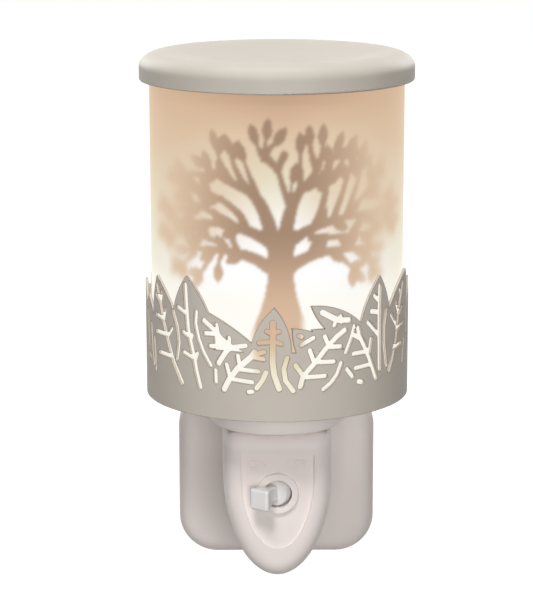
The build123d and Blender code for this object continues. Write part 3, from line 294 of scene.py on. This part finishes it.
# Toggle lever
# A square-ended lever on a flat-faced ball, in a white ABS that is brighter than the housing's.
# Polished ABS: clean and white, rubbed a little smoother in places by fingers.
lever_abs, tree = new_finish("polished_white_abs")
place = add_node(tree, "ShaderNodeTexCoord").outputs["Object"]
drift = add_node(tree, "ShaderNodeTexNoise", {"Vector": place, "Scale": 1 / 0.006, "Detail": 3.0})
tint = add_node(tree, "ShaderNodeMix", {"Factor": drift, 6: linear("#E9E6E4"), 7: linear("#F1EFEE")},
                data_type="RGBA")
rubbing = add_node(tree, "ShaderNodeTexNoise", {"Vector": place, "Scale": 1 / 0.0015, "Detail": 3.0})
gloss = add_node(tree, "ShaderNodeMapRange", {"Value": rubbing, "To Min": 0.24, "To Max": 0.36})
surface = add_node(tree, "ShaderNodeBsdfPrincipled", {
    "Base Color": tint.outputs[2], "Roughness": gloss, "IOR": 1.53})
add_node(tree, "ShaderNodeOutputMaterial", {"Surface": surface})
wear(lever_abs, "switch_lever")


# Lampholder, clamp ring and switch box
# Heat-proof thermoplastic mouldings inside the warmer, which show only when the dish is off.
# Moulded PBT: cream white and nearly matt, with a fine grain.
holder_pbt, tree = new_finish("cream_pbt")
place = add_node(tree, "ShaderNodeTexCoord").outputs["Object"]
drift = add_node(tree, "ShaderNodeTexNoise", {"Vector": place, "Scale": 1 / 0.008, "Detail": 3.0})
tint = add_node(tree, "ShaderNodeMix", {"Factor": drift, 6: linear("#DDD8CD"), 7: linear("#E8E4DA")},
                data_type="RGBA")
grit = add_node(tree, "ShaderNodeTexNoise", {"Vector": place, "Scale": 1 / 0.0004, "Detail": 3.0})
gloss = add_node(tree, "ShaderNodeMapRange", {"Value": grit, "To Min": 0.4, "To Max": 0.6})
pores = add_node(tree, "ShaderNodeBump", {"Height": grit, "Strength": 0.2, "Distance": 0.00004})
surface = add_node(tree, "ShaderNodeBsdfPrincipled", {
    "Base Color": tint.outputs[2], "Roughness": gloss, "Normal": pores})
add_node(tree, "ShaderNodeOutputMaterial", {"Surface": surface})
wear(holder_pbt, "lamp_holder", "shade_ring", "switch_body")


# Lamp
# A small clear bulb: blown soda glass on a pressed aluminium cap, with a dark vitreous ring under it.
# A bowed filament stands on a glass stem inside.

# Blown glass: clear, with the faint streaks of blowing.
clear_glass, tree = new_finish("clear_blown_glass")
place = add_node(tree, "ShaderNodeTexCoord").outputs["Object"]
waves = add_node(tree, "ShaderNodeTexNoise", {"Vector": place, "Scale": 1 / 0.010, "Detail": 1.0})
streaks = add_node(tree, "ShaderNodeBump", {"Height": waves, "Strength": 0.1, "Distance": 0.0003})
surface = add_node(tree, "ShaderNodeBsdfPrincipled", {
    "Base Color": linear("#FBFAF6"), "Roughness": 0.03, "Normal": streaks, "IOR": 1.5,
    "Transmission Weight": 1.0})
add_node(tree, "ShaderNodeOutputMaterial", {"Surface": surface})
wear(clear_glass, "lamp_glass", "lamp_stem")

# Tungsten: glowing warm, hotter in places.
hot_wire, tree = new_finish("glowing_tungsten")
place = add_node(tree, "ShaderNodeTexCoord").outputs["Object"]
spots = add_node(tree, "ShaderNodeTexNoise", {"Vector": place, "Scale": 1 / 0.002, "Detail": 3.0})
heat = add_node(tree, "ShaderNodeMix", {"Factor": spots, 6: linear("#FFC27A"), 7: linear("#FFE3B4")},
                data_type="RGBA")
surface = add_node(tree, "ShaderNodeBsdfPrincipled", {
    "Base Color": linear("#4A4744"), "Emission Color": heat.outputs[2], "Emission Strength": 4.0})
add_node(tree, "ShaderNodeOutputMaterial", {"Surface": surface})
wear(hot_wire, "lamp_filament")

# Pressed aluminium: pale grey, bright on the thread's ridges and duller between.
cap_metal, tree = new_finish("pressed_aluminium")
place = add_node(tree, "ShaderNodeTexCoord").outputs["Object"]
clouds = add_node(tree, "ShaderNodeTexNoise", {"Vector": place, "Scale": 1 / 0.004, "Detail": 3.0})
tint = add_node(tree, "ShaderNodeMix", {"Factor": clouds, 6: linear("#B9BABD"), 7: linear("#CECFD1")},
                data_type="RGBA")
patches = add_node(tree, "ShaderNodeTexNoise", {"Vector": place, "Scale": 1 / 0.0012, "Detail": 3.0})
gloss = add_node(tree, "ShaderNodeMapRange", {"Value": patches, "To Min": 0.25, "To Max": 0.45})
surface = add_node(tree, "ShaderNodeBsdfPrincipled", {
    "Base Color": tint.outputs[2], "Roughness": gloss, "Metallic": 1.0})
add_node(tree, "ShaderNodeOutputMaterial", {"Surface": surface})
wear(cap_metal, "lamp_cap")

# Vitrite: a nearly black glass with a hard shine.
dark_vitrite, tree = new_finish("dark_vitreous_insulator")
place = add_node(tree, "ShaderNodeTexCoord").outputs["Object"]
clouds = add_node(tree, "ShaderNodeTexNoise", {"Vector": place, "Scale": 1 / 0.002, "Detail": 3.0})
tint = add_node(tree, "ShaderNodeMix", {"Factor": clouds, 6: linear("#151318"), 7: linear("#2A252C")},
                data_type="RGBA")
surface = add_node(tree, "ShaderNodeBsdfPrincipled", {"Base Color": tint.outputs[2], "Roughness": 0.15})
add_node(tree, "ShaderNodeOutputMaterial", {"Surface": surface})
wear(dark_vitrite, "lamp_insulator")


# Leads
# Single wires inside the housing, brown for live and switched, blue for neutral, from the pins up to the lamp.
# PVC: an even colour and a smooth, dull shine.
for name, dark, light, leads in (
    ("brown_pvc", "#4E2C18", "#5F3A22", ("live_lead", "switched_lead")),
    ("blue_pvc", "#1D3C86", "#2C4F9E", ("neutral_lead",)),
):
    wire_pvc, tree = new_finish(name)
    place = add_node(tree, "ShaderNodeTexCoord").outputs["Object"]
    drift = add_node(tree, "ShaderNodeTexNoise", {"Vector": place, "Scale": 1 / 0.003, "Detail": 3.0})
    tint = add_node(tree, "ShaderNodeMix", {"Factor": drift, 6: linear(dark), 7: linear(light)},
                    data_type="RGBA")
    surface = add_node(tree, "ShaderNodeBsdfPrincipled", {"Base Color": tint.outputs[2], "Roughness": 0.4})
    add_node(tree, "ShaderNodeOutputMaterial", {"Surface": surface})
    wear(wire_pvc, *leads)


# Leaf sleeve
# Thin steel rolled to a band, laser-cut with leaves and veins, then sprayed in a satin champagne grey.
# Satin paint: a fine grain that clouds slightly, and thin brown lines along the cut edges.
edge_line = 0.0005
satin_paint, tree = new_finish("satin_champagne_paint")
place = add_node(tree, "ShaderNodeTexCoord").outputs["Object"]
clouds = add_node(tree, "ShaderNodeTexNoise", {"Vector": place, "Scale": 1 / 0.018, "Detail": 3.0})
paint = add_node(tree, "ShaderNodeMix", {"Factor": clouds, 6: linear("#C6BDB2"), 7: linear("#D0C9BF")},
                 data_type="RGBA")
rounded = add_node(tree, "ShaderNodeBevel", {"Radius": edge_line}, samples=6)
flat = add_node(tree, "ShaderNodeNewGeometry").outputs["Normal"]
level = add_node(tree, "ShaderNodeVectorMath", {0: rounded, 1: flat},
                 operation="DOT_PRODUCT").outputs["Value"]
edge = add_node(tree, "ShaderNodeMapRange", {
    "Value": level, "From Min": 0.8, "From Max": 0.99, "To Min": 0.9, "To Max": 0.0})
tint = add_node(tree, "ShaderNodeMix", {"Factor": edge, 6: paint.outputs[2], 7: linear("#7E6552")},
                data_type="RGBA")
grit = add_node(tree, "ShaderNodeTexNoise", {"Vector": place, "Scale": 1 / 0.00035, "Detail": 3.0})
gloss = add_node(tree, "ShaderNodeMapRange", {"Value": grit, "To Min": 0.42, "To Max": 0.58})
spray = add_node(tree, "ShaderNodeBump", {"Height": grit, "Strength": 0.2, "Distance": 0.00003})
surface = add_node(tree, "ShaderNodeBsdfPrincipled", {
    "Base Color": tint.outputs[2], "Roughness": gloss, "Normal": spray, "Specular IOR Level": 0.05})
add_node(tree, "ShaderNodeOutputMaterial", {"Surface": surface})
wear(satin_paint, "leaf_sleeve")


# Tree silhouette
# Thin steel sheet cut as a tree, standing on a folded foot just inside the glass.
# Matt bronze paint: a dry brown; its shadow, painted on the frosted glass, is what shows from outside.
bronze_paint, tree = new_finish("matt_bronze_paint")
place = add_node(tree, "ShaderNodeTexCoord").outputs["Object"]
clouds = add_node(tree, "ShaderNodeTexNoise", {"Vector": place, "Scale": 1 / 0.010, "Detail": 3.0})
tint = add_node(tree, "ShaderNodeMix", {"Factor": clouds, 6: linear("#6E5744"), 7: linear("#846A54")},
                data_type="RGBA")
grit = add_node(tree, "ShaderNodeTexNoise", {"Vector": place, "Scale": 1 / 0.0004, "Detail": 3.0})
gloss = add_node(tree, "ShaderNodeMapRange", {"Value": grit, "To Min": 0.5, "To Max": 0.7})
surface = add_node(tree, "ShaderNodeBsdfPrincipled", {"Base Color": tint.outputs[2], "Roughness": gloss})
add_node(tree, "ShaderNodeOutputMaterial", {"Surface": surface})
wear(bronze_paint, "tree_silhouette")


# Frosted glass tube
# Drawn glass tube, acid-frosted and lit by the lamp inside; that light is painted into the glass as a glowing
# colour:
# white in front of the lamp, cream round it, beige towards the dish. The tree stands between lamp and glass,
# and its soft shadow is painted on the frosting.
glass_low, glass_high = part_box("glass_cylinder")
glass_radius = (glass_high.x - glass_low.x) / 2
glass_wall = 0.0026
glass_edge = 0.0006
glass_height = glass_high.z - glass_low.z
filament_low, filament_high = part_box("lamp_filament")
lamp_point = (filament_low + filament_high) / 2

# The outer wall is a fine net in front, where the shadow falls, and a coarse one behind.
shadow_half = 84.0
fine_step = 0.6
coarse_step = 4.0
front_angles = np.arange(-shadow_half, shadow_half + fine_step / 2, fine_step)
back_angles = np.arange(shadow_half + coarse_step, 360 - shadow_half - coarse_step / 2, coarse_step)
angles = np.concatenate([front_angles, back_angles])
row_step = 0.00044
inner_rows = 30
wall_rows = np.linspace(0, glass_height - glass_edge, round((glass_height - glass_edge) / row_step) + 1)
rounding = [math.radians(a) for a in (30, 60, 90)]
inner_radius = glass_radius - glass_wall
profile = [(glass_radius, z) for z in wall_rows]
profile += [(glass_radius - glass_edge * (1 - math.cos(a)), glass_height - glass_edge * (1 - math.sin(a)))
            for a in rounding]
profile += [(inner_radius + glass_edge * (1 - math.sin(a)), glass_height - glass_edge * (1 - math.cos(a)))
            for a in (0, *rounding)]
profile += [(inner_radius, z) for z in np.linspace(glass_height - glass_edge, 0, inner_rows)[1:]]
across = np.sin(np.radians(angles))
ahead = -np.cos(np.radians(angles))
glass_points = [(r * sx, lamp_axis.y + r * sy, glass_low.z + z) for r, z in profile
                for sx, sy in zip(across, ahead)]
columns, levels = len(angles), len(profile)
glass_faces = [
    (level * columns + c, level * columns + (c + 1) % columns,
     (level + 1) % levels * columns + (c + 1) % columns, (level + 1) % levels * columns + c)
    for level in range(levels) for c in range(columns)
]

# Where the sheet stands between a place on the glass and the lamp, that place gets painted shadow.
sheet = cad["tree_silhouette"].data
sheet_net = BVHTree.FromPolygons([v.co for v in sheet.vertices], [p.vertices for p in sheet.polygons])
shadow = np.zeros((len(wall_rows), len(front_angles)))
for row in range(len(wall_rows)):
    for column in range(len(front_angles)):
        start = Vector(glass_points[row * columns + column])
        reach = lamp_point - start
        shadow[row, column] = sheet_net.ray_cast(start, reach.normalized(), reach.length)[0] is not None


def softened(field, width):
    """Field of shadow spread by this width in metres, as light spreads inside the frosted glass."""
    for axis, step in ((0, row_step), (1, glass_radius * math.radians(fine_step))):
        reach = max(1, int(3 * width / step))
        spread = np.exp(-0.5 * (np.arange(-reach, reach + 1) * step / width) ** 2)
        spread /= spread.sum()
        pad = [(reach, reach) if a == axis else (0, 0) for a in (0, 1)]
        wide = np.pad(field, pad, mode="edge")
        field = np.apply_along_axis(lambda line: np.convolve(line, spread, mode="valid"), axis, wide)
    return field


def ease(low, high, value):
    """Smooth step from 0 at low to 1 at high."""
    share = np.clip((value - low) / (high - low), 0, 1)
    return share * share * (3 - 2 * share)


def bell(value, width):
    """1 at no value, falling off smoothly over this width."""
    return np.exp(-(value / width) ** 2)


def light(hex_colour):
    """Linear colour as an array, without alpha."""
    return np.array(linear(hex_colour)[:3])


def blend_to(colour, other, amount):
    """Mix of two colour fields."""
    return colour + (other - colour) * amount[..., None]


sharp = softened(shadow, 0.00035)
soft = softened(shadow, 0.0012)
hazy = softened(shadow, 0.0050)

# Painted light of the bare glass: it falls off with distance from the lamp, more slowly to the sides than
# upwards.
# Heights and widths on the glass are in millimetres here.
lit_steps = {0: "#FFFFFF", 18: "#FFFFFE", 25: "#F2EEE0", 31: "#E7E1CA", 38: "#E2D4B8", 48: "#DDC3A6",
             64: "#D8B999"}
lit_colours = np.array([light(colour) for colour in lit_steps.values()])
side_stretch = 1.3
wall_angle, wall_height = np.meshgrid(angles, wall_rows * 1000)
side_mm = 1000 * glass_radius * np.sin(np.radians(wall_angle))
lamp_mm = (lamp_point.z - glass_low.z) * 1000
distance = np.hypot(side_mm / side_stretch, wall_height - lamp_mm)
glow = np.stack([np.interp(distance, list(lit_steps), lit_colours[:, i]) for i in range(3)], axis=-1)

# Painted shade: under the dish the middle of the front is dimmer and warmer, because the dish hides the lamp's
# upward light there.
under_dish = 93
facing = np.cos(np.radians(wall_angle)) > 0
dim = bell(wall_height - under_dish, 8.5) * bell(side_mm, 20) * facing
broad_dish_shade = bell(wall_height - under_dish, 20) * bell(side_mm, 26) * facing
glow *= 1 - dim[..., None] * np.array([0.20, 0.23, 0.23])
glow *= 1 - broad_dish_shade[..., None] * np.array([0.02, 0.11, 0.13])

# Painted light: inside the sleeve the glass is whiter, because the sleeve throws the light back on it.
sleeve_rim, sleeve_inside = 42, 32
glow = blend_to(glow, light("#FFFCF3"), 0.8 * ease(sleeve_rim, sleeve_inside, wall_height))

# The crown's gaps are hazed with painted shade from its leaves, less so near the trunk.
front = slice(0, len(front_angles))
front_height = wall_height[:, front]
side_angle = np.abs(wall_angle[:, front])
from_trunk = np.abs(side_mm[:, front])
crown_foot, crown_full = 42, 52
clear_half = np.interp(front_height, [45, 75], [17, 8])
in_crown = (1 - bell(from_trunk, clear_half)) * ease(crown_foot, crown_full, front_height)
crown_shade_haze = np.clip(hazy * 1.6, 0, 1) * in_crown
lit_front = blend_to(glow[:, front], light("#E4CDB2"), crown_shade_haze * 0.8)

# The painted shadow is brown, pales near the lamp and towards the sides, and turns to cream at the foot, where
# the lamp's light comes round the trunk.
near_lamp = 0.9 * ease(55, 28, front_height)
to_sides = 0.9 * ease(6, 54, side_angle)
at_foot = ease(24, 12, front_height)
shade_colour = light("#A3856D") * np.ones(lit_front.shape)
for paler, amount in (("#DCBC9F", near_lamp), ("#E0C5A8", to_sides), ("#E6DCBC", at_foot)):
    shade_colour = blend_to(shade_colour, light(paler), amount)

# The painted shadow is crisp in the middle, blurred at the sides, weak at the foot, and kept to the trunk
# inside the sleeve.
edge_blur = ease(25, 55, side_angle)
foot_cover = 0.4
beside_trunk = ease(5.5, 8.5, from_trunk) * ease(34, 26, front_height)
cover = sharp * (1 - edge_blur) + soft * edge_blur
cover *= foot_cover + (1 - foot_cover) * ease(6, 21, front_height)
cover *= 1 - beside_trunk
glow[:, front] = blend_to(lit_front, shade_colour, cover)

# The rounded rim and the inner wall take the painted glow of the outer wall at the same height.
glow_rows = [min(int(round(z / row_step)), len(wall_rows) - 1) for _, z in profile]
glow_rows[:len(wall_rows)] = range(len(wall_rows))
glow_colours = glow[glow_rows].reshape(-1, 3)

# Acid-frosted glass: no clear view through it, a dull sheen and a very fine tooth. Most of what it shows is the
# lamp's light, painted in as a glowing colour, and only a little is light from the room.
lamp_share = 0.86
frosted_glass, tree = new_finish("acid_frosted_glass")
painted_lamp_glow = add_node(tree, "ShaderNodeAttribute", attribute_name="painted_lamp_glow").outputs["Color"]
tint = add_node(tree, "ShaderNodeMix", {"Factor": lamp_share, 6: painted_lamp_glow, 7: linear("#000000")},
                data_type="RGBA")
place = add_node(tree, "ShaderNodeTexCoord").outputs["Object"]
tooth = add_node(tree, "ShaderNodeTexNoise", {"Vector": place, "Scale": 1 / 0.0004, "Detail": 3.0})
gloss = add_node(tree, "ShaderNodeMapRange", {"Value": tooth, "To Min": 0.5, "To Max": 0.62})
frost = add_node(tree, "ShaderNodeBump", {"Height": tooth, "Strength": 0.15, "Distance": 0.00002})
surface = add_node(tree, "ShaderNodeBsdfPrincipled", {
    "Base Color": tint.outputs[2], "Roughness": gloss, "Normal": frost, "Specular IOR Level": 0.2,
    "Emission Color": painted_lamp_glow, "Emission Strength": lamp_share})
add_node(tree, "ShaderNodeOutputMaterial", {"Surface": surface})
glass_tube = new_piece("frosted_glass_tube", glass_points, glass_faces, frosted_glass)
# The painted light and shadow go on the tube as its colour attribute.
painted = glass_tube.data.color_attributes.new("painted_lamp_glow", "FLOAT_COLOR", "POINT")
painted.data.foreach_set("color", np.insert(glow_colours, 3, 1.0, axis=1).astype(np.float32).ravel())
glass_tube.data.shade_smooth()
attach(glass_tube, "base")
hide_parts("glass_cylinder")


# Wax dish
# Slip-cast ceramic with a wide round shoulder and a shallow bowl, under a satin off-white glaze.
# Satin glaze: it drifts a little in colour and gloss, and is slightly uneven like orange peel.
satin_glaze, tree = new_finish("satin_glazed_ceramic")
place = add_node(tree, "ShaderNodeTexCoord").outputs["Object"]
drift = add_node(tree, "ShaderNodeTexNoise", {"Vector": place, "Scale": 1 / 0.012, "Detail": 3.0})
tint = add_node(tree, "ShaderNodeMix", {"Factor": drift, 6: linear("#BEB7AC"), 7: linear("#C6C0B6")},
                data_type="RGBA")
patches = add_node(tree, "ShaderNodeTexNoise", {"Vector": place, "Scale": 1 / 0.003, "Detail": 3.0})
gloss = add_node(tree, "ShaderNodeMapRange", {"Value": patches, "To Min": 0.46, "To Max": 0.58})
waves = add_node(tree, "ShaderNodeTexNoise", {"Vector": place, "Scale": 1 / 0.0025, "Detail": 1.0})
peel = add_node(tree, "ShaderNodeBump", {"Height": waves, "Strength": 0.15, "Distance": 0.0001})
surface = add_node(tree, "ShaderNodeBsdfPrincipled", {
    "Base Color": tint.outputs[2], "Roughness": gloss, "Normal": peel, "Specular IOR Level": 0.3})
add_node(tree, "ShaderNodeOutputMaterial", {"Surface": surface})
wear(satin_glaze, "wax_dish")
